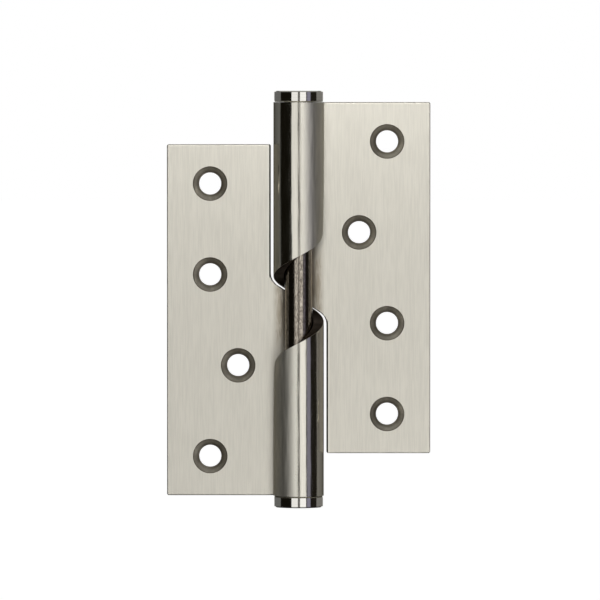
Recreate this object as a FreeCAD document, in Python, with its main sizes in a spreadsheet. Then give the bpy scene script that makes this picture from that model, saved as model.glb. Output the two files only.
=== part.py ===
import FreeCAD
import Part
import Sketcher
import math
import os

# A left-hand rising butt hinge, open at 180 degrees.
# Millimetres. Z runs along the pin, the countersunk faces look toward -Y, and the door leaf lies toward +X.
# The origin is on the pin's axis, half way up the whole hinge.

doc = FreeCAD.newDocument("rising_butt_hinge")
sheet = doc.addObject("Spreadsheet::Sheet", "Sizes")

driving_sizes = (
    ("leaf_height", 101.6, "height of each leaf"),
    ("leaf_width", 38.1, "pin axis to the outer edge of a leaf"),
    ("leaf_thickness", 3.0, "thickness of the pressed plate"),
    ("leaf_face", 0.8, "countersunk face behind the pin axis, half the gap of the closed hinge"),
    ("leaf_offset", 12.2, "how much higher the door leaf stands when open"),
    ("leaf_corner", 0.55, "radius of the corners of a leaf"),
    ("edge_break", 0.35, "rounding of the countersunk face's edge"),
    ("edge_clearance", 0.75, "free edge of a leaf to the other leaf's knuckle"),
    ("cam_clearance", 0.3, "room left round the cam face for the other knuckle"),
    ("knuckle_bore", 8.6, "diameter inside the rolled knuckle"),
    ("swage_radius", 1.0, "inside radius of the bend that sets the knuckle forward"),
    ("roll_seam", 0.3, "end of the roll to the plane of the leaf's face"),
    ("cam_lead", 23.8, "rise of the helical cam face in a full turn"),
    ("cam_gap", 1.3, "upright play between the two cam faces"),
    ("tab_slope", 32.5, "slope in degrees of the cut edge beside the knuckle"),
    ("notch_radius", 4.2, "radius where the free edge meets the sloped edge"),
    ("tab_lead", 32.0, "rise in a full turn of the slope from the roll's corner to the cam face"),
    ("tab_crest", 55.0, "angle in degrees from the end of the roll to the top of that slope"),
    ("tab_overrun", 6.0, "angle in degrees that the slope is followed past its top, over the cam face"),
    ("tab_corner", 2.7, "radius of the roll's corner below the slope"),
    ("tab_setback", 2.5, "how far the corner is cut back from the end of the roll"),
    ("tab_taper", 32.0, "length over which the roll's end runs out again"),
    ("hole_diameter", 6.4, "screw hole"),
    ("countersink_diameter", 10.0, "countersink at the face"),
    ("countersink_angle", 90.0, "countersink angle in degrees"),
    ("hole_end_margin", 11.35, "end of a leaf to its first hole"),
    ("hole_edge_margin", 12.5, "outer edge of a leaf to the outer holes"),
    ("hole_stagger", 8.1, "how much further in the one inner hole lies"),
    ("pin_clearance", 0.3, "radial play of the pin in the turning knuckle"),
    ("press_fit", 0.02, "radial room left where a piece is pressed into a knuckle"),
    ("pin_seat_length", 30.0, "length of the pin held in the fixed knuckle"),
    ("pin_chamfer", 0.8, "chamfer at the pin's ends"),
    ("pin_top_room", 0.8, "pin to the upper plug when the hinge is closed"),
    ("pin_foot_room", 0.3, "pin to the lower plug"),
    ("cap_thickness", 3.2, "visible disc of an end cap"),
    ("cap_inset", 0.15, "cap's radius less than the knuckle's"),
    ("cap_seam", 0.12, "seam between a knuckle and its cap"),
    ("cap_chamfer", 0.3, "chamfer round a cap's rims"),
    ("plug_length", 6.0, "part of a cap pressed into the knuckle"),
)
for row, (alias, number, meaning) in enumerate(driving_sizes, start=1):
    sheet.set(f"A{row}", meaning)
    sheet.set(f"B{row}", str(number))
    sheet.setAlias(f"B{row}", alias)
doc.recompute()

# Sizes worked out from the driving ones, as expressions, for the fixed leaf, which lies toward -X.
# The door leaf is the same pressing turned over.
bore_radius = "(Sizes.knuckle_bore / 2)"
knuckle_radius = f"({bore_radius} + Sizes.leaf_thickness)"
free_edge = f"({knuckle_radius} + Sizes.edge_clearance)"
leaf_back = "(Sizes.leaf_face + Sizes.leaf_thickness)"
leaf_middle = "(-Sizes.leaf_offset / 2)"
leaf_bottom = f"({leaf_middle} - Sizes.leaf_height / 2)"
leaf_top = f"({leaf_middle} + Sizes.leaf_height / 2)"
# The swage bend is an arc that touches the leaf's face and, from outside, the knuckle's bore.
swage_y = f"({leaf_back} + Sizes.swage_radius)"
swage_x = f"(-sqrt(pow({knuckle_radius} + Sizes.swage_radius; 2) - pow({swage_y}; 2)))"
# The plate joins the roll on the line from the pin's axis to the centre of the swage bend.
joint_y = f"({swage_y} * {knuckle_radius} / ({knuckle_radius} + Sizes.swage_radius))"
# The roll ends just in front of the leaf's face.
roll_end_y = "(Sizes.leaf_face - Sizes.roll_seam)"
roll_end_angle = f"(-180 - asin({roll_end_y} / {knuckle_radius}) / 1deg)"
tab_edge_top = f"({free_edge} * tan(Sizes.tab_slope * 1deg))"
pin_bottom = f"({leaf_bottom} + Sizes.plug_length + Sizes.pin_foot_room)"
pin_top = f"(-{leaf_bottom} - Sizes.plug_length - Sizes.cam_lead / 2 - Sizes.pin_top_room)"
# Cutting shapes pass this far beyond the metal that they remove.
overcut = "1"
half_turn_over = FreeCAD.Placement(FreeCAD.Vector(), FreeCAD.Rotation(FreeCAD.Vector(0, 1, 0), 180))


def cam_height(angle):
    """Height of the fixed knuckle's cam face at an angle in degrees, anticlockwise seen from above."""
    return f"(Sizes.cam_lead * ({angle} - 90) / 360 - Sizes.cam_gap / 2)"


def slope_height(angle):
    """Height at an angle of the slope that leads up to the cam face. It meets that face at the crest."""
    crest = f"({roll_end_angle} + Sizes.tab_crest)"
    return f"({cam_height(crest)} - Sizes.tab_lead * ({crest} - {angle}) / 360)"


def value(expression):
    """The number that an expression gives with the present sizes."""
    return float(sheet.evalExpression(expression))


def add_sketch(body, name, role, turn=0.0):
    """A sketch on an origin plane of its body. An upright one may be turned about Z by some degrees."""
    plane = next(feature for feature in body.Origin.OriginFeatures if feature.Role == role)
    sketch = body.newObject("Sketcher::SketchObject", name)
    sketch.AttachmentSupport = (plane, [""])
    sketch.MapMode = "FlatFace"
    turned = FreeCAD.Rotation(FreeCAD.Vector(0, 1, 0), turn)
    sketch.AttachmentOffset = FreeCAD.Placement(FreeCAD.Vector(), turned)
    return sketch


def constrain(sketch, kind, *places):
    sketch.addConstraint(Sketcher.Constraint(kind, *places))


def dimension(sketch, kind, places, expression):
    """A driving dimension that follows the sheet. One to the left or downward is measured backward."""
    number = value(expression)
    if kind in ("DistanceX", "DistanceY") and number < 0:
        places = places[2:] + places[:2]
        expression = f"-({expression})"
        number = -number
    index = sketch.addConstraint(Sketcher.Constraint(kind, *places, number))
    sketch.setExpression(f"Constraints[{index}]", expression)


def place_point(sketch, place, x, y):
    """Fixes a point of the sketch at two expressions. None puts it on that axis."""
    if x is None:
        constrain(sketch, "PointOnObject", *place, -2)
    else:
        dimension(sketch, "DistanceX", (-1, 1, *place), x)
    if y is None:
        constrain(sketch, "PointOnObject", *place, -1)
    else:
        dimension(sketch, "DistanceY", (-1, 1, *place), y)


def draw_polygon(sketch, corners):
    """A closed outline of straight lines through corners given as expressions."""
    points = []
    for x, y in corners:
        points.append(FreeCAD.Vector(value(x) if x else 0, value(y) if y else 0, 0))
    count = len(points)
    for index in range(count):
        sketch.addGeometry(Part.LineSegment(points[index], points[(index + 1) % count]))
    for index in range(count):
        constrain(sketch, "Coincident", index, 2, (index + 1) % count, 1)
        place_point(sketch, (index, 1), *corners[index])


def arc(centre, radius, start, end):
    """An arc drawn anticlockwise between two angles in degrees."""
    circle = Part.Circle(centre, FreeCAD.Vector(0, 0, 1), radius)
    return Part.ArcOfCircle(circle, math.radians(start), math.radians(end))


def around(radius, degrees):
    angle = math.radians(degrees)
    return FreeCAD.Vector(radius * math.cos(angle), radius * math.sin(angle), 0)


def draw_roll(sketch):
    """The section of the rolled knuckle: an open ring with radial ends."""
    bore = value(bore_radius)
    outer = value(knuckle_radius)
    end = value(roll_end_angle)
    joint = 180 - math.degrees(math.asin(value(joint_y) / outer))
    centre = FreeCAD.Vector()
    sketch.addGeometry(arc(centre, bore, end, joint))
    sketch.addGeometry(Part.LineSegment(around(bore, end), around(outer, end)))
    sketch.addGeometry(arc(centre, outer, end, joint))
    sketch.addGeometry(Part.LineSegment(around(bore, joint), around(outer, joint)))
    constrain(sketch, "Coincident", 0, 1, 1, 1)
    constrain(sketch, "Coincident", 1, 2, 2, 1)
    constrain(sketch, "Coincident", 0, 2, 3, 1)
    constrain(sketch, "Coincident", 3, 2, 2, 2)
    for ring in (0, 2):
        constrain(sketch, "Coincident", ring, 3, -1, 1)
    for line in (1, 3):
        constrain(sketch, "PointOnObject", -1, 1, line)
    dimension(sketch, "Radius", (0,), bore_radius)
    dimension(sketch, "Radius", (2,), knuckle_radius)
    dimension(sketch, "DistanceY", (-1, 1, 2, 1), roll_end_y)
    dimension(sketch, "DistanceY", (-1, 1, 2, 2), joint_y)


def draw_plate(sketch):
    """The section of the flat leaf with the swage bend that carries it behind the pin."""
    centre = FreeCAD.Vector(value(swage_x), value(swage_y), 0)
    inner = value("Sizes.swage_radius")
    outer = inner + value("Sizes.leaf_thickness")
    toward_pin = math.degrees(math.atan2(-centre.y, -centre.x))
    face_end = centre + around(outer, -90)
    back_end = centre + around(inner, -90)
    face_start = FreeCAD.Vector(-value("Sizes.leaf_width"), face_end.y, 0)
    back_start = FreeCAD.Vector(-value("Sizes.leaf_width"), back_end.y, 0)
    bend_end = centre + around(outer, toward_pin)
    sketch.addGeometry(Part.LineSegment(face_start, face_end))
    sketch.addGeometry(arc(centre, outer, -90, toward_pin))
    sketch.addGeometry(Part.LineSegment(bend_end, centre + around(inner, toward_pin)))
    sketch.addGeometry(arc(centre, inner, -90, toward_pin))
    sketch.addGeometry(Part.LineSegment(back_end, back_start))
    sketch.addGeometry(Part.LineSegment(back_start, face_start))
    constrain(sketch, "Tangent", 0, 2, 1, 1)
    constrain(sketch, "Coincident", 1, 2, 2, 1)
    constrain(sketch, "Coincident", 2, 2, 3, 2)
    constrain(sketch, "Tangent", 3, 1, 4, 1)
    constrain(sketch, "Coincident", 4, 2, 5, 1)
    constrain(sketch, "Coincident", 5, 2, 0, 1)
    constrain(sketch, "Coincident", 3, 3, 1, 3)
    constrain(sketch, "Horizontal", 0)
    constrain(sketch, "Horizontal", 4)
    constrain(sketch, "Vertical", 5)
    constrain(sketch, "PointOnObject", -1, 1, 2)
    constrain(sketch, "PointOnObject", 1, 3, 2)
    dimension(sketch, "Radius", (3,), "Sizes.swage_radius")
    place_point(sketch, (1, 3), swage_x, swage_y)
    place_point(sketch, (0, 1), "-Sizes.leaf_width", "Sizes.leaf_face")


def add_pad(body, name, sketch, length):
    pad = body.newObject("PartDesign::Pad", name)
    pad.Profile = sketch
    pad.setExpression("Length", length)
    return pad


def make_climbing_cutter(name, height, lead, start, sweep, reach):
    """The space above a helical face, from a start angle over part of a turn.
    An upright rectangle climbs as it goes round the pin, so that its foot draws the face."""
    body = doc.addObject("PartDesign::Body", name)
    sketch = add_sketch(body, f"{name}_section", "XZ_Plane", start)
    foot = height(start)
    head = f"({foot} + Sizes.leaf_height)"
    inside = f"({bore_radius} / 2)"
    draw_polygon(sketch, ((inside, foot), (reach, foot), (reach, head), (inside, head)))
    helix = body.newObject("PartDesign::AdditiveHelix", f"{name}_sweep")
    helix.Profile = sketch
    helix.ReferenceAxis = (sketch, ["V_Axis"])
    helix.Mode = "pitch-turns-angle"
    helix.setExpression("Pitch", lead)
    helix.Turns = sweep / 360
    return body


def make_cut(name, base, tool):
    cut = doc.addObject("Part::Cut", name)
    cut.Base = base
    cut.Tool = tool
    doc.recompute()
    return cut


def add_fillet(body, name, test, radius):
    """Rounds the edges of the body whose two ends pass a test."""
    base = body.Tip
    edges = []
    for index, edge in enumerate(base.Shape.Edges, start=1):
        ends = [vertex.Point for vertex in edge.Vertexes]
        if len(ends) == 2 and test(*ends):
            edges.append(f"Edge{index}")
    fillet = body.newObject("PartDesign::Fillet", name)
    fillet.Base = (base, edges)
    fillet.setExpression("Radius", radius)
    doc.recompute()
    return fillet


def make_roll(name, cam_cutter, slope_cutter):
    """The knuckle before it meets its leaf, with the part of the cam face that goes round its front."""
    body = doc.addObject("PartDesign::Body", f"{name}_roll")
    section = add_sketch(body, f"{name}_roll_section", "XY_Plane")
    section.setExpression("AttachmentOffset.Base.z", leaf_bottom)
    draw_roll(section)
    add_pad(body, f"{name}_roll_pad", section, "Sizes.leaf_height")
    doc.recompute()
    # The roll's end is cut back along a taper. This sketch stands square to the radius through that end.
    # The taper is drawn a fifth longer, into the metal that the slope takes away.
    taper = add_sketch(body, f"{name}_taper_outline", "XZ_Plane", value(roll_end_angle) + 90)
    foot = f"({slope_height(roll_end_angle)} - Sizes.tab_taper)"
    head = f"({foot} + 1.2 * Sizes.tab_taper)"
    set_back = "(1.2 * Sizes.tab_setback)"
    draw_polygon(taper, ((f"(-{overcut})", foot), (None, foot), (set_back, head), (f"(-{overcut})", head)))
    pocket = body.newObject("PartDesign::Pocket", f"{name}_taper")
    pocket.Profile = taper
    pocket.Reversed = True
    pocket.setExpression("Length", f"({knuckle_radius} + {overcut})")
    doc.recompute()
    sloped = make_cut(f"{name}_sloped_roll", body, slope_cutter)
    return make_cut(f"{name}_cammed_roll", sloped, cam_cutter)


def round_tab_corner(body, name):
    """Rounds the corner where the taper of the roll's end meets the slope below the cam face."""
    near = 0.01
    end = math.radians(value(roll_end_angle))
    foot = value(f"({slope_height(roll_end_angle)} - Sizes.tab_taper)")
    taper = value("Sizes.tab_setback / Sizes.tab_taper")
    walls = (value(bore_radius), value(knuckle_radius))

    def is_tab_corner(first, second):
        """Runs through the wall on the taper, above the taper's foot."""
        radii = sorted(math.hypot(point.x, point.y) for point in (first, second))
        through = max(abs(radius - wall) for radius, wall in zip(radii, walls)) < near
        set_back = [point.y * math.cos(end) - point.x * math.sin(end) for point in (first, second)]
        off_taper = [back - taper * (point.z - foot) for back, point in zip(set_back, (first, second))]
        return through and max(map(abs, off_taper)) < near and min(set_back) > near

    add_fillet(body, f"{name}_tab_corner", is_tab_corner, "Sizes.tab_corner")


def add_window(body, name):
    """Frees the leaf beside the other knuckle: upright along the free edge, then down the tab's slope."""
    outline = add_sketch(body, f"{name}_window_outline", "XZ_Plane")
    beyond = f"({knuckle_radius} + {overcut})"
    above = f"({leaf_top} + {overcut})"
    side = f"(-{free_edge})"
    corners = ((side, above), (side, tab_edge_top), (None, None), (beyond, None), (beyond, above))
    draw_polygon(outline, corners)
    window = body.newObject("PartDesign::Pocket", f"{name}_window")
    window.Profile = outline
    window.Type = "ThroughAll"
    window.SideType = "Symmetric"
    doc.recompute()


def add_screw_holes(body, name):
    """Four countersunk holes, evenly spaced. The third from the top is set further in than the others."""
    centres = add_sketch(body, f"{name}_hole_centres", "XZ_Plane")
    centres.setExpression("AttachmentOffset.Base.z", "-Sizes.leaf_face")
    outer = "(Sizes.hole_edge_margin - Sizes.leaf_width)"
    inner = f"({outer} + Sizes.hole_stagger)"
    span = "(Sizes.leaf_height - 2 * Sizes.hole_end_margin)"
    for index in range(4):
        x = inner if index == 2 else outer
        z = f"({leaf_middle} + {span} * {3 - 2 * index} / 6)"
        middle = FreeCAD.Vector(value(x), value(z), 0)
        circle = Part.Circle(middle, FreeCAD.Vector(0, 0, 1), value("Sizes.hole_diameter / 2"))
        centres.addGeometry(circle)
        dimension(centres, "Radius", (index,), "(Sizes.hole_diameter / 2)")
        place_point(centres, (index, 3), x, z)
    doc.recompute()
    holes = body.newObject("PartDesign::Hole", f"{name}_screw_holes")
    holes.Profile = centres
    holes.setExpression("Diameter", "Sizes.hole_diameter")
    holes.DepthType = "ThroughAll"
    holes.HoleCutType = "Countersink"
    holes.HoleCutCustomValues = True
    holes.setExpression("HoleCutDiameter", "Sizes.countersink_diameter")
    holes.setExpression("HoleCutCountersinkAngle", "Sizes.countersink_angle")
    doc.recompute()


def round_leaf_edges(body, name):
    """Rounds the leaf's corners, the notch beside the knuckle and the edge of the countersunk face."""
    near = 0.01
    outside = -value("Sizes.leaf_width")
    side = -value(free_edge)
    top = value(leaf_top)
    bottom = value(leaf_bottom)
    notch = value(tab_edge_top)
    face = value("Sizes.leaf_face")

    def crosses(first, second):
        """Runs straight through the plate."""
        return abs(first.x - second.x) < near and abs(first.z - second.z) < near

    def is_corner(first, second):
        ends_here = min(abs(first.z - top), abs(first.z - bottom)) < near
        on_side = min(abs(first.x - outside), abs(first.x - side)) < near
        return crosses(first, second) and ends_here and on_side

    def is_notch(first, second):
        return crosses(first, second) and abs(first.x - side) < near and abs(first.z - notch) < near

    def is_rim(first, second):
        """The outer edge of the countersunk face. Its rounding runs on all the way round that face."""
        in_face = max(abs(first.y - face), abs(second.y - face)) < near
        return in_face and max(abs(first.x - outside), abs(second.x - outside)) < near

    add_fillet(body, f"{name}_corners", is_corner, "Sizes.leaf_corner")
    add_fillet(body, f"{name}_notch", is_notch, "Sizes.notch_radius")
    add_fillet(body, f"{name}_edge_break", is_rim, "Sizes.edge_break")


def make_leaf(name, front_cutter, slope_cutter, back_cutter):
    """One leaf as pressed: the knuckle, the plate behind the pin, and the cam face all the way round."""
    knuckle = doc.addObject("PartDesign::Body", f"{name}_knuckle")
    knuckle.BaseFeature = make_roll(name, front_cutter, slope_cutter)
    doc.recompute()
    round_tab_corner(knuckle, name)
    add_window(knuckle, f"{name}_knuckle")
    plate = doc.addObject("PartDesign::Body", f"{name}_plate")
    section = add_sketch(plate, f"{name}_plate_section", "XY_Plane")
    section.setExpression("AttachmentOffset.Base.z", leaf_bottom)
    draw_plate(section)
    add_pad(plate, f"{name}_plate_pad", section, "Sizes.leaf_height")
    doc.recompute()
    add_window(plate, f"{name}_plate")
    round_leaf_edges(plate, name)
    add_screw_holes(plate, name)
    pressing = doc.addObject("Part::Fuse", f"{name}_pressing")
    pressing.Base = knuckle
    pressing.Tool = plate
    doc.recompute()
    return make_cut(name, pressing, back_cutter)


def make_turned_piece(name, corners):
    """A piece turned on a lathe, from the half section given by its corners."""
    body = doc.addObject("PartDesign::Body", name)
    sketch = add_sketch(body, f"{name}_section", "XZ_Plane")
    draw_polygon(sketch, corners)
    turning = body.newObject("PartDesign::Revolution", f"{name}_turning")
    turning.Profile = sketch
    turning.ReferenceAxis = (sketch, ["V_Axis"])
    return body


def make_pin():
    """The pin: a seat pressed into the fixed knuckle, and a thinner part that the door's turns on."""
    seat = f"({bore_radius} - Sizes.press_fit)"
    shank = f"({bore_radius} - Sizes.pin_clearance)"
    shoulder = f"({pin_bottom} + Sizes.pin_seat_length)"
    neck = f"({shoulder} + Sizes.pin_clearance)"
    corners = (
        (None, pin_bottom),
        (f"({seat} - Sizes.pin_chamfer)", pin_bottom),
        (seat, f"({pin_bottom} + Sizes.pin_chamfer)"),
        (seat, shoulder),
        (shank, neck),
        (shank, f"({pin_top} - Sizes.pin_chamfer)"),
        (f"({shank} - Sizes.pin_chamfer)", pin_top),
        (None, pin_top),
    )
    return make_turned_piece("hinge_pin", corners)


def make_end_cap(name):
    """A cap as it sits at the foot of the fixed knuckle: a disc below, a plug pressed in above."""
    rim = f"({knuckle_radius} - Sizes.cap_inset)"
    plug = f"({bore_radius} - Sizes.press_fit)"
    upper_side = f"({leaf_bottom} - Sizes.cap_seam)"
    lower_side = f"({upper_side} - Sizes.cap_thickness)"
    plug_end = f"({leaf_bottom} + Sizes.plug_length)"
    corners = (
        (None, lower_side),
        (f"({rim} - Sizes.cap_chamfer)", lower_side),
        (rim, f"({lower_side} + Sizes.cap_chamfer)"),
        (rim, f"({upper_side} - Sizes.cap_chamfer)"),
        (f"({rim} - Sizes.cap_chamfer)", upper_side),
        (plug, upper_side),
        (plug, f"({plug_end} - Sizes.cap_chamfer)"),
        (f"({plug} - Sizes.cap_chamfer)", plug_end),
        (None, plug_end),
    )
    return make_turned_piece(name, corners)


# The two front cutters start past the end of the roll. The back one clears room for the other knuckle.
front_start = -190
front_reach = f"({knuckle_radius} + {overcut})"
back_reach = f"({knuckle_radius} + Sizes.cam_clearance)"
slope_sweep = value(f"{roll_end_angle} + Sizes.tab_crest + Sizes.tab_overrun") - front_start
cam_lead = "Sizes.cam_lead"
front_cutter = make_climbing_cutter(
    "front_cutter", cam_height, cam_lead, front_start, -front_start, front_reach
)
slope_cutter = make_climbing_cutter(
    "slope_cutter", slope_height, "Sizes.tab_lead", front_start, slope_sweep, front_reach
)
back_cutter = make_climbing_cutter("back_cutter", cam_height, cam_lead, 0, 180, back_reach)
doc.recompute()

frame_leaf = make_leaf("frame_leaf", front_cutter, slope_cutter, back_cutter)
door_leaf = make_leaf("door_leaf", front_cutter, slope_cutter, back_cutter)
door_leaf.Placement = half_turn_over
hinge_pin = make_pin()
lower_end_cap = make_end_cap("lower_end_cap")
upper_end_cap = make_end_cap("upper_end_cap")
upper_end_cap.Placement = half_turn_over
doc.recompute()

for feature in doc.Objects:
    if "Invalid" in feature.State or "Error" in feature.State:
        raise RuntimeError(f"{feature.Name} did not build: {feature.State}")

os.makedirs("parts", exist_ok=True)
for piece in (frame_leaf, door_leaf, hinge_pin, lower_end_cap, upper_end_cap):
    piece.Label = piece.Name
    if piece.Shape.isNull() or not piece.Shape.isValid():
        raise RuntimeError(f"{piece.Name} has no valid shape")
    piece.Shape.exportStep(f"parts/{piece.Label}.step")
    print(piece.Label, round(piece.Shape.Volume, 1), "cubic millimetres")
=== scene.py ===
import math

import bpy
import numpy as np
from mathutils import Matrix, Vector

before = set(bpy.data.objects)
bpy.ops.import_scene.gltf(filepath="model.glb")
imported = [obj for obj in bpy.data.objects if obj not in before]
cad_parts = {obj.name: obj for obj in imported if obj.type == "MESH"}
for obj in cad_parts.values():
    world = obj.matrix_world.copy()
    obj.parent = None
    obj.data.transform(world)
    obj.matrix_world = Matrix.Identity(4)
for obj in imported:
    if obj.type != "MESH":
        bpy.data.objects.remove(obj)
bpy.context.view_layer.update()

# Left-hand rising butt hinge in satin stainless steel, open at 180 degrees.
# Metres. Z runs up the pin, the countersunk faces look toward -Y, the door leaf lies toward +X.
# The five solids keep their shapes. This file gives them their finishes, the studio and the camera.

cameraSettings = {
    "aim": (0.0004, 0.0, -0.0003),     # what stands in the picture's middle
    "distance": 2.2,
    "elevation": 2.0,                  # degrees above the horizon
    "pictureWidth": 0.17357,           # what the picture's width covers at the pin
    "nearest": 0.01,                   # nothing nearer or further than these is drawn
    "furthest": 60.0,
}


def addCamera(settings):
    data = bpy.data.cameras.new("camera")
    camera = bpy.data.objects.new("camera", data)
    bpy.context.scene.collection.objects.link(camera)
    tilt = math.radians(settings["elevation"])
    away = Vector((0.0, -math.cos(tilt), math.sin(tilt)))
    camera.location = Vector(settings["aim"]) + away * settings["distance"]
    camera.rotation_euler = (-away).to_track_quat("-Z", "Y").to_euler()
    data.lens = data.sensor_width * settings["distance"] / settings["pictureWidth"]
    data.clip_start = settings["nearest"]
    data.clip_end = settings["furthest"]
    bpy.context.scene.camera = camera


addCamera(cameraSettings)
print("camera placed")


def newMaterial(name):
    material = bpy.data.materials.new(name)
    material.use_nodes = True
    material.node_tree.nodes.clear()
    return material, material.node_tree


def feed(tree, source, socket):
    # a socket takes either another node's output or a plain value
    if isinstance(source, bpy.types.NodeSocket):
        tree.links.new(source, socket)
    else:
        socket.default_value = source


def addNode(tree, kind, inputs=None, **settings):
    node = tree.nodes.new(kind)
    for key, setting in settings.items():
        setattr(node, key, setting)
    for key, source in (inputs or {}).items():
        feed(tree, source, node.inputs[key])
    return node


def calc(tree, operation, *terms):
    return addNode(tree, "ShaderNodeMath", dict(enumerate(terms)), operation=operation).outputs[0]


def vectorCalc(tree, operation, *terms):
    node = addNode(tree, "ShaderNodeVectorMath", dict(enumerate(terms)), operation=operation)
    return node.outputs["Value" if operation in ("LENGTH", "DISTANCE") else "Vector"]


def times(tree, *factors):
    # the product of all factors, which for masks is where every one of them holds
    product = factors[0]
    for factor in factors[1:]:
        product = calc(tree, "MULTIPLY", product, factor)
    return product


def opposite(tree, mask):
    return calc(tree, "SUBTRACT", 1.0, mask)


def splitPlace(tree, place):
    return addNode(tree, "ShaderNodeSeparateXYZ", {0: place}).outputs


def joinPlace(tree, x=0.0, y=0.0, z=0.0):
    return addNode(tree, "ShaderNodeCombineXYZ", {0: x, 1: y, 2: z}).outputs[0]


def inMillimetres(tree, place):
    return vectorCalc(tree, "MULTIPLY", place, (1000.0, 1000.0, 1000.0))


def fade(tree, source, start, end, low=0.0, high=1.0):
    # an S-shaped step from low at start to high at end, flat beyond both
    inputs = {0: source, 1: start, 2: end, 3: low, 4: high}
    return addNode(tree, "ShaderNodeMapRange", inputs, interpolation_type="SMOOTHSTEP").outputs[0]


def blendColours(tree, amount, first, second):
    # all of first where amount is 0, all of second where it is 1
    node = addNode(tree, "ShaderNodeMix", data_type="RGBA")
    feed(tree, amount, node.inputs[0])
    feed(tree, first, node.inputs[6])
    feed(tree, second, node.inputs[7])
    return node.outputs[2]


def blendValues(tree, amount, first, second):
    inputs = {0: amount, 2: first, 3: second}
    return addNode(tree, "ShaderNodeMix", inputs, data_type="FLOAT").outputs[0]


def rgba(colour):
    return (*colour, 1.0)


studioSettings = {
    "whiteLevel": 1.0,                 # what the camera and polished metal find all round
    "worldLight": 0.6,                 # what the world gives to matt things
    "floorHeight": -0.30,
    "floorSize": 30.0,
    "floorColour": (0.8, 0.8, 0.8),
    "floorGlow": 0.53,                 # keeps the floor white round the object's shadow
}


def whiteToLooks(tree):
    # 1 for rays that should find plain white: the camera's, reflected ones and those through glass
    path = addNode(tree, "ShaderNodeLightPath")
    looks = calc(tree, "MAXIMUM", path.outputs["Is Camera Ray"], path.outputs["Is Glossy Ray"])
    return calc(tree, "MAXIMUM", looks, path.outputs["Is Transmission Ray"])


def buildWorld(settings):
    world = bpy.data.worlds.new("studio")
    world.use_nodes = True
    bpy.context.scene.world = world
    tree = world.node_tree
    tree.nodes.clear()
    white = rgba((1.0, 1.0, 1.0))
    seen = addNode(tree, "ShaderNodeBackground", {"Color": white, "Strength": settings["whiteLevel"]})
    lit = addNode(tree, "ShaderNodeBackground", {"Color": white, "Strength": settings["worldLight"]})
    looks = whiteToLooks(tree)
    mix = addNode(tree, "ShaderNodeMixShader", {0: looks, 1: lit.outputs[0], 2: seen.outputs[0]})
    addNode(tree, "ShaderNodeOutputWorld", {"Surface": mix.outputs[0]})


def addStage(name, mesh, material):
    sheet = bpy.data.objects.new(name, mesh)
    bpy.context.scene.collection.objects.link(sheet)
    mesh.materials.append(material)
    return sheet


def buildFloor(settings):
    # a level square round the pin's axis: x and y run from minus half to plus half its size
    half = settings["floorSize"] / 2
    corners = np.array([(-half, -half), (half, -half), (half, half), (-half, half)])
    points = np.column_stack([corners, np.full(4, settings["floorHeight"])])
    mesh = bpy.data.meshes.new("floor")
    mesh.from_pydata(points.tolist(), [], [(0, 1, 2, 3)])
    material, tree = newMaterial("paleFloor")
    matt = addNode(tree, "ShaderNodeBsdfDiffuse", {"Color": rgba(settings["floorColour"])})
    strength = calc(tree, "MULTIPLY", whiteToLooks(tree), settings["floorGlow"])
    glow = addNode(tree, "ShaderNodeEmission", {"Color": rgba((1.0, 1.0, 1.0)), "Strength": strength})
    both = addNode(tree, "ShaderNodeAddShader", {0: matt.outputs[0], 1: glow.outputs[0]})
    addNode(tree, "ShaderNodeOutputMaterial", {"Surface": both.outputs[0]})
    addStage("floor", mesh, material)


# The light tent: curved sheets round the hinge, seen only in its metal.
# Each runs between two azimuths in degrees, 0 at the camera and growing toward the door leaf.
# Most stand upright. Two small bright panels stand nearer, and brighten the rough leaves toward top and foot.
# The roof and the dark cloth underneath lie flat, from their inner radius outward.
tentSettings = {
    "radius": 0.6,
    "bottom": -0.30,
    "top": 0.55,
    "steps": 32,                       # along one sheet
    "sheets": {
        "leftFarCard": {"from": -157, "to": -92, "colour": (0.15, 0.152, 0.15)},
        "leftFlag": {"from": -92, "to": -33, "colour": (0.007, 0.006, 0.004)},
        "leftSoftbox": {"from": -33, "to": -3.5, "colour": (1.0, 1.0, 1.0)},
        "middleFlag": {"from": -3.5, "to": 6.5, "colour": (0.15, 0.145, 0.14)},
        "rightSoftbox": {"from": 6.5, "to": 35, "colour": (1.12, 1.12, 1.12)},
        "violetEdge": {"from": 35, "to": 40, "colour": (0.06, 0.055, 0.06)},
        "violetCard": {"from": 40, "to": 57, "colour": (0.245, 0.24, 0.32)},
        "rightFlag": {"from": 57, "to": 92, "colour": (0.015, 0.013, 0.01)},
        "rightFarCard": {"from": 92, "to": 157, "colour": (0.22, 0.215, 0.205)},
        "headPanel": {"from": -10, "to": 14, "colour": (7.2, 7.2, 7.2),
                      "radius": 0.3, "bottom": 0.12, "top": 0.26},
        "footPanel": {"from": 16, "to": 40, "colour": (5.9, 5.9, 5.9),
                      "radius": 0.3, "bottom": -0.28, "top": -0.13},
        "roof": {"from": -180, "to": 180, "colour": (0.3, 0.3, 0.29),
                 "innerRadius": 0.0, "bottom": 0.55, "top": 0.55},
        "underCloth": {"from": -180, "to": 180, "colour": (0.03, 0.03, 0.03),
                       "innerRadius": 0.0, "bottom": -0.29, "top": -0.29},
    },
}


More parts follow.
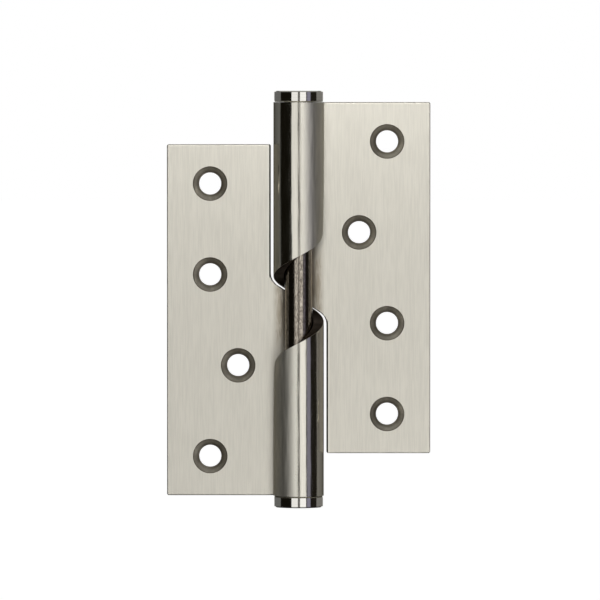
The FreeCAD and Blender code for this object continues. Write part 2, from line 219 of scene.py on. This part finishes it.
def tentSheet(name, settings, sheet):
    # a strip round the pin's axis: x = r sin a, y = -r cos a, where a runs along it and height across it
    outer = sheet.get("radius", settings["radius"])
    radius = np.array([sheet.get("innerRadius", outer), outer])
    azimuth = np.radians(np.linspace(sheet["from"], sheet["to"], settings["steps"] + 1))[:, None]
    heights = np.array([sheet.get("bottom", settings["bottom"]), sheet.get("top", settings["top"])])
    z = np.broadcast_to(heights, (settings["steps"] + 1, 2))
    points = np.stack([radius * np.sin(azimuth), -radius * np.cos(azimuth), z], axis=-1).reshape(-1, 3)
    first = np.arange(settings["steps"]) * 2
    faces = np.stack([first, first + 2, first + 3, first + 1], axis=1)
    mesh = bpy.data.meshes.new(name)
    mesh.from_pydata(points.tolist(), [], faces.tolist())
    material, tree = newMaterial(name)
    glow = addNode(tree, "ShaderNodeEmission", {"Color": rgba(sheet["colour"]), "Strength": 1.0})
    addNode(tree, "ShaderNodeOutputMaterial", {"Surface": glow.outputs[0]})
    made = addStage(name, mesh, material)
    made.visible_camera = False
    made.visible_diffuse = False
    made.visible_shadow = False
    made.visible_transmission = False


bpy.context.scene.view_settings.view_transform = "Standard"
buildWorld(studioSettings)
buildFloor(studioSettings)
for sheetName, sheetValues in tentSettings["sheets"].items():
    tentSheet(sheetName, tentSettings, sheetValues)
print("studio built")


def newGroup(name, inputs, outputs):
    # inputs and outputs are {name: kind}, a kind being Float, Vector or Color
    tree = bpy.data.node_groups.new(name, "ShaderNodeTree")
    for direction, sockets in (("INPUT", inputs), ("OUTPUT", outputs)):
        for key, kind in sockets.items():
            tree.interface.new_socket(key, in_out=direction, socket_type=f"NodeSocket{kind}")
    return tree, tree.nodes.new("NodeGroupInput").outputs, tree.nodes.new("NodeGroupOutput").inputs


def useGroup(tree, name, **inputs):
    node = tree.nodes.new("ShaderNodeGroup")
    node.node_tree = bpy.data.node_groups[name]
    for key, source in inputs.items():
        feed(tree, source, node.inputs[key])
    return node.outputs


grainSettings = {
    "fineLines": {"scale": 1.0, "detail": 2.0},
    "broadStreaks": {"scale": 0.22, "detail": 1.0},
    "upScale": 2.0,
    "contrast": (0.34, 0.66),          # noise values that become 0 and 1
}


def buildLineGrain(settings):
    # Brushing along Z: noise that changes quickly round the piece and slowly up it.
    # Fine lines and broader streaks are mixed by Broad.
    tree, given, made = newGroup(
        "lineGrain",
        {"Place": "Vector", "Fineness": "Float", "Length": "Float", "Broad": "Float"},
        {"Lines": "Float"},
    )
    apart = splitPlace(tree, given["Place"])
    up = calc(tree, "DIVIDE", apart["Z"], given["Length"])
    layers = []
    for layer in (settings["fineLines"], settings["broadStreaks"]):
        across = [times(tree, apart[axis], given["Fineness"], layer["scale"]) for axis in "XY"]
        place = joinPlace(tree, *across, times(tree, up, layer["scale"] * settings["upScale"]))
        inputs = {"Vector": place, "Scale": 1.0, "Detail": layer["detail"]}
        layers.append(addNode(tree, "ShaderNodeTexNoise", inputs).outputs[0])
    mixed = blendValues(tree, given["Broad"], *layers)
    feed(tree, fade(tree, mixed, *settings["contrast"]), made["Lines"])


ringSettings = {
    "detail": 2.0,
    "contrast": (0.3, 0.7),
}


def buildTurnedRings(settings):
    # Turning marks: noise read along one distance only, so that it repeats as rings.
    tree, given, made = newGroup(
        "turnedRings",
        {"Distance": "Float", "Fineness": "Float"},
        {"Rings": "Float"},
    )
    along = times(tree, given["Distance"], given["Fineness"])
    inputs = {"W": along, "Scale": 1.0, "Detail": settings["detail"]}
    noise = addNode(tree, "ShaderNodeTexNoise", inputs, noise_dimensions="1D")
    feed(tree, fade(tree, noise.outputs[0], *settings["contrast"]), made["Rings"])


smearSettings = {
    "detail": 3.0,
    "roughness": 0.6,
    "distortion": 0.8,
    "contrast": (0.28, 0.72),
}


def buildSmears(settings):
    # Handling marks and oil: slow noise with its middle values stretched apart, drawn out along Z.
    tree, given, made = newGroup(
        "smears",
        {"Place": "Vector", "Size": "Float", "Stretch": "Float"},
        {"Smear": "Float"},
    )
    apart = splitPlace(tree, given["Place"])
    x, y, z = (calc(tree, "DIVIDE", apart[axis], given["Size"]) for axis in "XYZ")
    place = joinPlace(tree, x, y, calc(tree, "DIVIDE", z, given["Stretch"]))
    noise = addNode(tree, "ShaderNodeTexNoise", {
        "Vector": place,
        "Scale": 1.0,
        "Detail": settings["detail"],
        "Roughness": settings["roughness"],
        "Distortion": settings["distortion"],
    })
    feed(tree, fade(tree, noise.outputs[0], *settings["contrast"]), made["Smear"])


# Places on the frame leaf in millimetres. The door leaf is the same piece turned over.
# Each pair is where a mask is still 0 and where it has reached 1.
leafLayout = {
    "holes": ((-25.6, 33.35), (-25.6, 7.05), (-17.5, -19.25), (-25.6, -45.55)),    # x and z
    "coneRadius": (5.03, 4.95),        # from a hole's middle
    "coneDepth": (3.78, 3.5),          # y, in front of the leaf's back
    "rollRadius": (7.7, 7.4),          # from the pin's axis
    "bendSide": (-1.0, -3.0),          # x
    "bendFace": (0.5, 0.8),            # y
    "bendRadius": (7.6, 7.2),
    "rollEndSide": (0.8, -2.6),        # x
    "rollEndFront": (1.5, 0.0),        # y
    "camRadius": (9.3, 9.0),
    "camHeight": (26.0, 24.0),         # up or down from the middle
    "camRimInside": (7.08, 7.2),       # radius
    "camRimOutside": (7.6, 7.4),
    "slotOuterSide": (-9.2, -9.0),     # x
    "slotInnerSide": (-7.5, -7.7),
    # where the free edge in the slot is painted dark as shade
    "shadedEdgeSide": (-8.56, -8.48),
    # where a painted highlight line runs beside the free edge
    "highlightOuterSide": (-9.0, -8.85),
    "highlightInnerSide": (-8.5, -8.6),
    "aboveNotch": (5.8, 6.8),          # z
    # where an oil stain and painted shade from the crevice beside the pin darken the bends
    "stainAndShadeHeight": (16.0, 9.0),          # up or down from the middle
    "stainAndShadeRadius": (7.6, 5.9),
}
# The same for how far a surface leans, from 0, square to the direction, to 1, facing along it.
leafLeans = {
    "camFace": (0.2, 0.4),             # up or down
    "tumbledRim": (0.08, 0.35),        # up or down
    "shadedFreeEdge": (0.05, 0.25),       # toward the pin
}


def buildLeafRegions(layout, leans):
    # Finds a leaf's own places in millimetres, and from them its knuckle, the end of its roll,
    # the bend beside the pin, its cam face, its sheared free edge, painted dark as shade, and the painted
    # highlight line beside it,
    # its countersinks, and the rims that tumbling has dulled.
    # Beside pin fades out from the part where an oil stain and painted shade from the crevice beside the pin
    # darken both leaves.
    # Turn is 1 for the frame leaf and -1 for the door leaf.
    tree, given, made = newGroup(
        "leafRegions",
        {"Place": "Vector", "Normal": "Vector", "Turn": "Float"},
        {"Place": "Vector", "Knuckle": "Float", "Roll end": "Float", "Cam face": "Float",
         "Free edge": "Float", "Countersink": "Float", "Hole distance": "Float",
         "Painted highlight line": "Float", "Bend": "Float", "Tumbled rim": "Float", "Beside pin": "Float"},
    )

    def within(source, name):
        return fade(tree, source, *layout[name])

    apart = splitPlace(tree, inMillimetres(tree, given["Place"]))
    x, y, z = times(tree, apart["X"], given["Turn"]), apart["Y"], times(tree, apart["Z"], given["Turn"])
    feed(tree, joinPlace(tree, x, y, z), made["Place"])
    fromPin = vectorCalc(tree, "LENGTH", joinPlace(tree, x, y))
    fromMiddle = calc(tree, "ABSOLUTE", z)
    facing = splitPlace(tree, given["Normal"])
    upright = calc(tree, "ABSOLUTE", facing["Z"])
    towardPin = times(tree, facing["X"], given["Turn"])

    flat = joinPlace(tree, x=x, z=z)
    nearest = None
    for holeX, holeZ in layout["holes"]:
        reach = vectorCalc(tree, "DISTANCE", flat, (holeX, 0.0, holeZ))
        nearest = reach if nearest is None else calc(tree, "MINIMUM", nearest, reach)
    feed(tree, nearest, made["Hole distance"])
    feed(tree, times(tree, within(nearest, "coneRadius"), within(y, "coneDepth")), made["Countersink"])

    onBend = times(tree, within(x, "bendSide"), within(y, "bendFace"))
    feed(tree, times(tree, within(fromPin, "rollRadius"), opposite(tree, onBend)), made["Knuckle"])
    feed(tree, times(tree, onBend, within(fromPin, "bendRadius")), made["Bend"])
    feed(tree, times(tree, within(x, "rollEndSide"), within(y, "rollEndFront")), made["Roll end"])

    camFace = times(tree, within(fromPin, "camRadius"), within(fromMiddle, "camHeight"),
                    fade(tree, upright, *leans["camFace"]))
    camRim = times(tree, within(fromPin, "camRimInside"), within(fromPin, "camRimOutside"))
    feed(tree, times(tree, camFace, opposite(tree, camRim)), made["Cam face"])

    aboveNotch = within(z, "aboveNotch")
    besideSlot = times(tree, within(x, "slotOuterSide"), within(x, "slotInnerSide"))
    # the free edge facing the pin, which is painted near black as shade in the slot
    shadedEdgeMask = calc(tree, "MAXIMUM", times(tree, within(x, "shadedEdgeSide"), aboveNotch),
                   fade(tree, towardPin, *leans["shadedFreeEdge"]))
    feed(tree, times(tree, besideSlot, shadedEdgeMask), made["Free edge"])
    # a painted highlight: a light line on the face beside the free edge, where the rounded edge catches the
    # light
    paintedEdgeHighlight = times(tree, within(x, "highlightOuterSide"), within(x, "highlightInnerSide"), aboveNotch)
    feed(tree, paintedEdgeHighlight, made["Painted highlight line"])

    feed(tree, fade(tree, upright, *leans["tumbledRim"]), made["Tumbled rim"])
    # the bends beside the pin, darkened partly by an oil stain and partly by painted shade
    feed(tree, times(tree, within(fromMiddle, "stainAndShadeHeight"), within(fromPin, "stainAndShadeRadius")), made["Beside pin"])


buildLineGrain(grainSettings)
buildTurnedRings(ringSettings)
buildSmears(smearSettings)
buildLeafRegions(leafLayout, leafLeans)
print("finish groups built")


def finishMaterial(tree, settings, colour, roughness, height, bumpDepth):
    # the shader itself, with its plain numbers on its own sockets
    bump = addNode(tree, "ShaderNodeBump", {"Height": height, "Strength": 1.0, "Distance": bumpDepth})
    shader = addNode(tree, "ShaderNodeBsdfPrincipled", {
        "Base Color": colour,
        "Metallic": 1.0,
        "Specular Tint": rgba(settings["grazingTint"]),
        "Roughness": roughness,
        "Anisotropic": settings["anisotropic"],
        "Normal": bump.outputs[0],
    })
    if settings["anisotropic"] > 0:
        across = addNode(tree, "ShaderNodeTangent", direction_type="RADIAL", axis="Z")
        feed(tree, across.outputs[0], shader.inputs["Tangent"])
    addNode(tree, "ShaderNodeOutputMaterial", {"Surface": shader.outputs[0]})


def dress(node, material):
    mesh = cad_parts[node].data
    mesh.materials.clear()
    mesh.materials.append(material)


leafFinish = {
    "satin": (0.725, 0.696, 0.612),
    "satinDark": (0.655, 0.629, 0.552),
    # brown for the oil stain and painted shade beside the pin
    "stainedAndShaded": (0.44, 0.39, 0.31),
    "stainAndShadeSize": 0.9,                  # millimetres across one streak of the oil stain and painted shade
    "stainAndShadeStretch": 6.0,               # how many times as long as wide
    "leastStainAndShade": 0.35,                # between the streaks
    "smearSize": 4.0,                  # millimetres
    "smearStretch": 2.0,
    "smearShare": 0.1,                 # of the steel's tone, the rest comes from the brushing
    "cutFace": (0.10, 0.082, 0.066),
    "cutFaceDark": (0.05, 0.04, 0.032),
    # painted shade: near black for the free edge in the slot
    "shadedFreeEdge": (0.028, 0.023, 0.017),
    # painted highlight for the line beside the free edge
    "paintedEdgeHighlight": (0.79, 0.77, 0.69),
    "rim": (0.62, 0.60, 0.52),
    "grazingTint": (0.2, 0.19, 0.17),  # dulls what a leaf shows at a very flat angle
    "countersink": (0.70, 0.66, 0.575),
    "countersinkDark": (0.24, 0.22, 0.185),
    # the dark rim line of the cone, also used as painted shade deep in the countersink
    "countersinkRimAndShade": (0.18, 0.16, 0.125),
    "countersinkSmearShare": 0.4,
    "countersinkRimAt": (4.7, 4.85),   # millimetres from the hole's middle
    "countersinkShadeAt": (4.1, 3.4),
    "holeShadeShare": 0.6,                  # how strongly painted shade darkens the cone toward the hole
    "anisotropic": 0.3,
    "plateRoughness": 0.42,
    "knuckleRoughness": 0.12,
    "rollEndRoughness": 0.42,
    "bendRoughness": 0.6,
    "cutRoughness": 0.55,
    "rimRoughness": 0.5,
    "countersinkRoughness": 0.42,
    "lineFineness": 2.7,               # lines per millimetre, about
    "lineLength": 15.0,                # millimetres
    "broadShare": 0.22,                # how much of the brushing is in broader streaks
    "lineDepth": 0.000004,             # metres
    "lineRoughness": 0.08,             # how much rougher a light line is than a dark one
    "ringFineness": 4.5,
    "ringHeight": 2.0,                 # against the brushed lines
}


def leafSteel(name, turn, settings):
    # brushed steel, with its countersinks, cut faces, stains and dulled rims laid over one another by mask,
    # with painted shade on the free edge, deep in the countersinks and beside the pin, and a painted
    # highlight line beside the free edge
    material, tree = newMaterial(name)
    where = addNode(tree, "ShaderNodeTexCoord").outputs
    region = useGroup(tree, "leafRegions", Place=where["Object"], Normal=where["Normal"], Turn=turn)
    lines = useGroup(tree, "lineGrain", Place=region["Place"], Fineness=settings["lineFineness"],
                     Length=settings["lineLength"], Broad=settings["broadShare"])["Lines"]
    rings = useGroup(tree, "turnedRings", Distance=region["Hole distance"],
                     Fineness=settings["ringFineness"])["Rings"]
    smear = useGroup(tree, "smears", Place=region["Place"], Size=settings["smearSize"],
                     Stretch=settings["smearStretch"])["Smear"]
    oilAndShadeStreaks = useGroup(tree, "smears", Place=region["Place"], Size=settings["stainAndShadeSize"],
                   Stretch=settings["stainAndShadeStretch"])["Smear"]

    tone = blendValues(tree, settings["smearShare"], lines, smear)
    colour = blendColours(tree, tone, rgba(settings["satinDark"]), rgba(settings["satin"]))
    # oil stain and painted shade in the crevice beside the pin
    stainAndShade = times(tree, region["Beside pin"], fade(tree, oilAndShadeStreaks, 0.0, 1.0, low=settings["leastStainAndShade"]))
    colour = blendColours(tree, stainAndShade, colour, rgba(settings["stainedAndShaded"]))
    # painted highlight beside the free edge
    colour = blendColours(tree, region["Painted highlight line"], colour, rgba(settings["paintedEdgeHighlight"]))
    colour = blendColours(tree, region["Tumbled rim"], colour, rgba(settings["rim"]))

    turned = blendValues(tree, settings["countersinkSmearShare"], rings, smear)
    cone = blendColours(tree, turned, rgba(settings["countersinkDark"]), rgba(settings["countersink"]))
    atRim = fade(tree, region["Hole distance"], *settings["countersinkRimAt"])
    cone = blendColours(tree, atRim, cone, rgba(settings["countersinkRimAndShade"]))
    # painted shade: the cone darkens toward the hole, as shade falls into the recess
    holeShade = fade(tree, region["Hole distance"], *settings["countersinkShadeAt"], high=settings["holeShadeShare"])
    cone = blendColours(tree, holeShade, cone, rgba(settings["countersinkRimAndShade"]))
    colour = blendColours(tree, region["Countersink"], colour, cone)

    cutFace = blendColours(tree, smear, rgba(settings["cutFaceDark"]), rgba(settings["cutFace"]))
    colour = blendColours(tree, region["Cam face"], colour, cutFace)
    # painted shade on the free edge in the slot
    colour = blendColours(tree, region["Free edge"], colour, rgba(settings["shadedFreeEdge"]))

    plate = blendValues(tree, region["Bend"], settings["plateRoughness"], settings["bendRoughness"])
    roll = blendValues(tree, region["Roll end"], settings["knuckleRoughness"], settings["rollEndRoughness"])
    rough = blendValues(tree, region["Knuckle"], plate, roll)
    overLines = times(tree, calc(tree, "SUBTRACT", lines, 0.5), settings["lineRoughness"])
    rough = calc(tree, "ADD", rough, overLines)
    rough = blendValues(tree, region["Tumbled rim"], rough, settings["rimRoughness"])
    rough = blendValues(tree, region["Countersink"], rough, settings["countersinkRoughness"])
    cut = calc(tree, "MAXIMUM", region["Cam face"], region["Free edge"])
    rough = blendValues(tree, cut, rough, settings["cutRoughness"])

    height = blendValues(tree, region["Countersink"], lines, times(tree, rings, settings["ringHeight"]))
    finishMaterial(tree, settings, colour, rough, height, settings["lineDepth"])
    return material


dress("frame_leaf", leafSteel("frameLeafSatin", 1.0, leafFinish))
dress("door_leaf", leafSteel("doorLeafSatin", -1.0, leafFinish))
print("leaves finished")


pinFinish = {
    "bright": (0.50, 0.45, 0.38),
    "dark": (0.17, 0.142, 0.115),
    "anisotropic": 0.0,
    "grazingTint": (1.0, 1.0, 1.0),
    "roughLow": 0.09,
    "roughHigh": 0.24,
    "smearSize": 0.45,                 # millimetres
    "smearStretch": 3.0,
    "ringFineness": 5.0,               # rings per millimetre, about
    "ringDepth": 0.000004,             # metres
}


def pinSteel(name, settings):
    # turned steel under a film of oil: blotches drawn out along the pin over fine rings
    material, tree = newMaterial(name)
    where = addNode(tree, "ShaderNodeTexCoord").outputs
    place = inMillimetres(tree, where["Object"])
    up = splitPlace(tree, place)["Z"]
    smear = useGroup(tree, "smears", Place=place, Size=settings["smearSize"],
                     Stretch=settings["smearStretch"])["Smear"]
    rings = useGroup(tree, "turnedRings", Distance=up, Fineness=settings["ringFineness"])["Rings"]
    colour = blendColours(tree, smear, rgba(settings["dark"]), rgba(settings["bright"]))
    rough = blendValues(tree, smear, settings["roughHigh"], settings["roughLow"])
    height = calc(tree, "ADD", rings, smear)
    finishMaterial(tree, settings, colour, rough, height, settings["ringDepth"])
    return material


dress("hinge_pin", pinSteel("oiledPin", pinFinish))
print("pin finished")


capFinish = {
    "bright": (0.84, 0.82, 0.77),
    "dull": (0.74, 0.72, 0.67),
    "anisotropic": 0.0,
    "grazingTint": (1.0, 1.0, 1.0),
    "roughLow": 0.05,
    "roughHigh": 0.11,
    "smearSize": 4.0,                  # millimetres
    "smearStretch": 1.0,
    "ringFineness": 5.0,               # rings per millimetre, about
    "ringDepth": 0.000001,             # metres
}


def capSteel(name, settings):
    # polished on the lathe: rings round the rim and round the middle of the end, a few faint smears
    material, tree = newMaterial(name)
    where = addNode(tree, "ShaderNodeTexCoord").outputs
    place = inMillimetres(tree, where["Object"])
    apart = splitPlace(tree, place)
    fromAxis = vectorCalc(tree, "LENGTH", joinPlace(tree, apart["X"], apart["Y"]))
    along = calc(tree, "ADD", fromAxis, apart["Z"])
    rings = useGroup(tree, "turnedRings", Distance=along, Fineness=settings["ringFineness"])["Rings"]
    smear = useGroup(tree, "smears", Place=place, Size=settings["smearSize"],
                     Stretch=settings["smearStretch"])["Smear"]
    colour = blendColours(tree, rings, rgba(settings["dull"]), rgba(settings["bright"]))
    rough = blendValues(tree, times(tree, smear, rings), settings["roughLow"], settings["roughHigh"])
    finishMaterial(tree, settings, colour, rough, rings, settings["ringDepth"])
    return material


polished = capSteel("polishedCap", capFinish)
dress("upper_end_cap", polished)
dress("lower_end_cap", polished)
print("caps finished")
